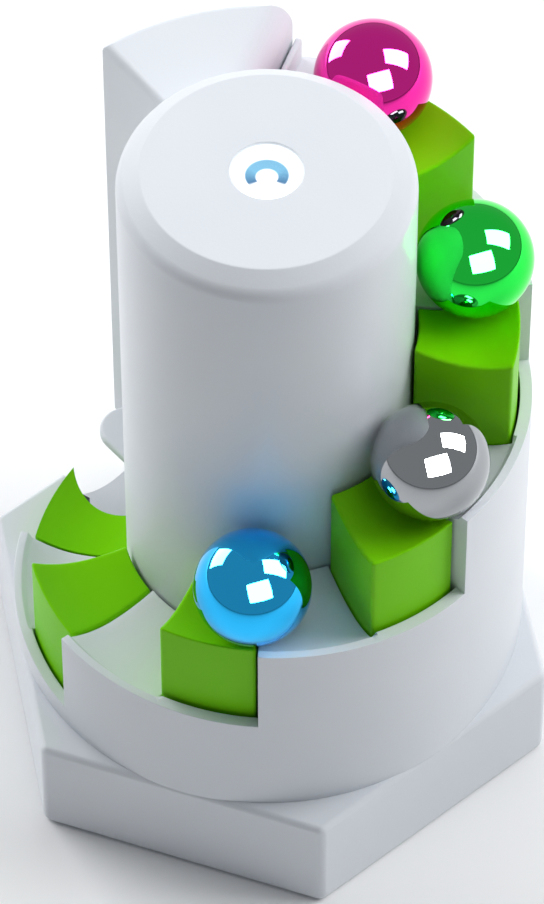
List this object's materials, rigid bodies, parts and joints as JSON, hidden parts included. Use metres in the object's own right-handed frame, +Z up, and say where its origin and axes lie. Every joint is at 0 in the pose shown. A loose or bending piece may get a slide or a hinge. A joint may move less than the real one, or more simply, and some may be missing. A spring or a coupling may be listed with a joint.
{
  "type": "marble run",
  "caption": "Powered spiral stair that lifts marbles: a hexagonal tile, a round column, moving step blocks, sloped fixed floors and mirror-bright marbles.",
  "frame": {"origin": "middle of the hexagonal underside, on the surface the tile stands on", "axes": "+Z up along the column; +X through a corner of the tile; the stair climbs counter-clockwise seen from above"},
  "size_m": [0.0658, 0.057, 0.087],
  "materials": {
    "housing": "satin",
    "step_green": "satin",
    "cover_grey": "matte",
    "steel": "satin",
    "gear_ivory": "satin",
    "cam_dark": "satin",
    "motor_can": "satin",
    "board_green": "satin",
    "dark_plastic": "matte",
    "cell_wrap": "gloss",
    "contact_metal": "polished",
    "led_lens": "gloss",
    "button_white": "gloss",
    "marble_pink_metal": "mirror",
    "marble_green_metal": "mirror",
    "marble_silver_metal": "mirror",
    "marble_blue_metal": "mirror"
  },
  "bodies": {
    "housing": {"hex_tile": "housing", "bottom_cover": "cover_grey", "cover_screw_1": "steel", "cover_screw_2": "steel", "cover_screw_3": "steel", "column_screw_1": "steel", "column_screw_2": "steel", "track_drum": "housing", "exit_tower": "housing", "column_shell": "housing", "guide_pin_1": "steel", "guide_pin_2": "steel", "guide_pin_3": "steel", "gear_plate_lower": "cover_grey", "gear_plate_upper": "cover_grey", "idler_pin": "steel", "motor": "motor_can", "battery_holder": "dark_plastic", "battery_1": "cell_wrap", "battery_2": "cell_wrap", "battery_3": "cell_wrap", "contact_plate_lower": "contact_metal", "contact_plate_upper": "contact_metal", "circuit_board": "board_green", "switch_body": "dark_plastic", "led_1": "led_lens", "led_2": "led_lens"},
    "lift": {"lift_ring": "cam_dark", "step_1": "step_green", "step_2": "step_green", "step_3": "step_green", "step_4": "step_green", "step_5": "step_green", "step_6": "step_green"},
    "cam_drive": {"cam": "cam_dark", "cam_shaft": "steel", "cam_gear": "gear_ivory"},
    "idler": {"idler_gear": "gear_ivory"},
    "motor_rotor": {"motor_pinion": "gear_ivory", "motor_shaft": "steel"},
    "button": {"button_cap": "button_white", "switch_plunger": "button_white"},
    "marble_blue": {"marble_blue": "marble_blue_metal"},
    "marble_silver": {"marble_silver": "marble_silver_metal"},
    "marble_green": {"marble_green": "marble_green_metal"},
    "marble_pink": {"marble_pink": "marble_pink_metal"}
  },
  "joints": [
    {"name": "cam_spin", "type": "hinge", "parent": "housing", "child": "cam_drive", "pos_m": [0, 0, 0.01], "axis": [0, 0, 1], "range_deg": [0, 180]},
    {"name": "lift_slide", "type": "slide", "parent": "housing", "child": "lift", "axis": [0, 0, 1], "range_m": [-0.0115, 0]},
    {"name": "idler_spin", "type": "hinge", "parent": "housing", "child": "idler", "pos_m": [0.008, 0, 0.0235], "axis": [0, 0, 1], "range_deg": [-400, 5]},
    {"name": "motor_spin", "type": "hinge", "parent": "housing", "child": "motor_rotor", "pos_m": [0, 0, 0.0255], "axis": [0, 0, 1], "range_deg": [-5, 875]},
    {"name": "button_press", "type": "slide", "parent": "housing", "child": "button", "axis": [0, 0, -1], "range_m": [0, 0.0008], "stiffness_N_per_m": 400, "springref_m": -0.0004},
    {"name": "blue_roll", "type": "hinge", "parent": "housing", "child": "marble_blue", "pos_m": [0, 0, 0.0447], "axis": [0, 0, 1], "range_deg": [-8, 6]},
    {"name": "silver_roll", "type": "hinge", "parent": "housing", "child": "marble_silver", "pos_m": [0, 0, 0.0562], "axis": [0, 0, 1], "range_deg": [-8, 6]},
    {"name": "green_roll", "type": "hinge", "parent": "housing", "child": "marble_green", "pos_m": [0, 0, 0.0677], "axis": [0, 0, 1], "range_deg": [-8, 6]},
    {"name": "pink_roll", "type": "hinge", "parent": "housing", "child": "marble_pink", "pos_m": [0, 0, 0.0792], "axis": [0, 0, 1], "range_deg": [-8, 6]}
  ],
  "couplings": [
    {"joint": "lift_slide", "follows": "cam_spin", "m_per_rad": -0.0036605},
    {"joint": "idler_spin", "follows": "cam_spin", "ratio": -2.2},
    {"joint": "motor_spin", "follows": "cam_spin", "ratio": 4.84}
  ]
}
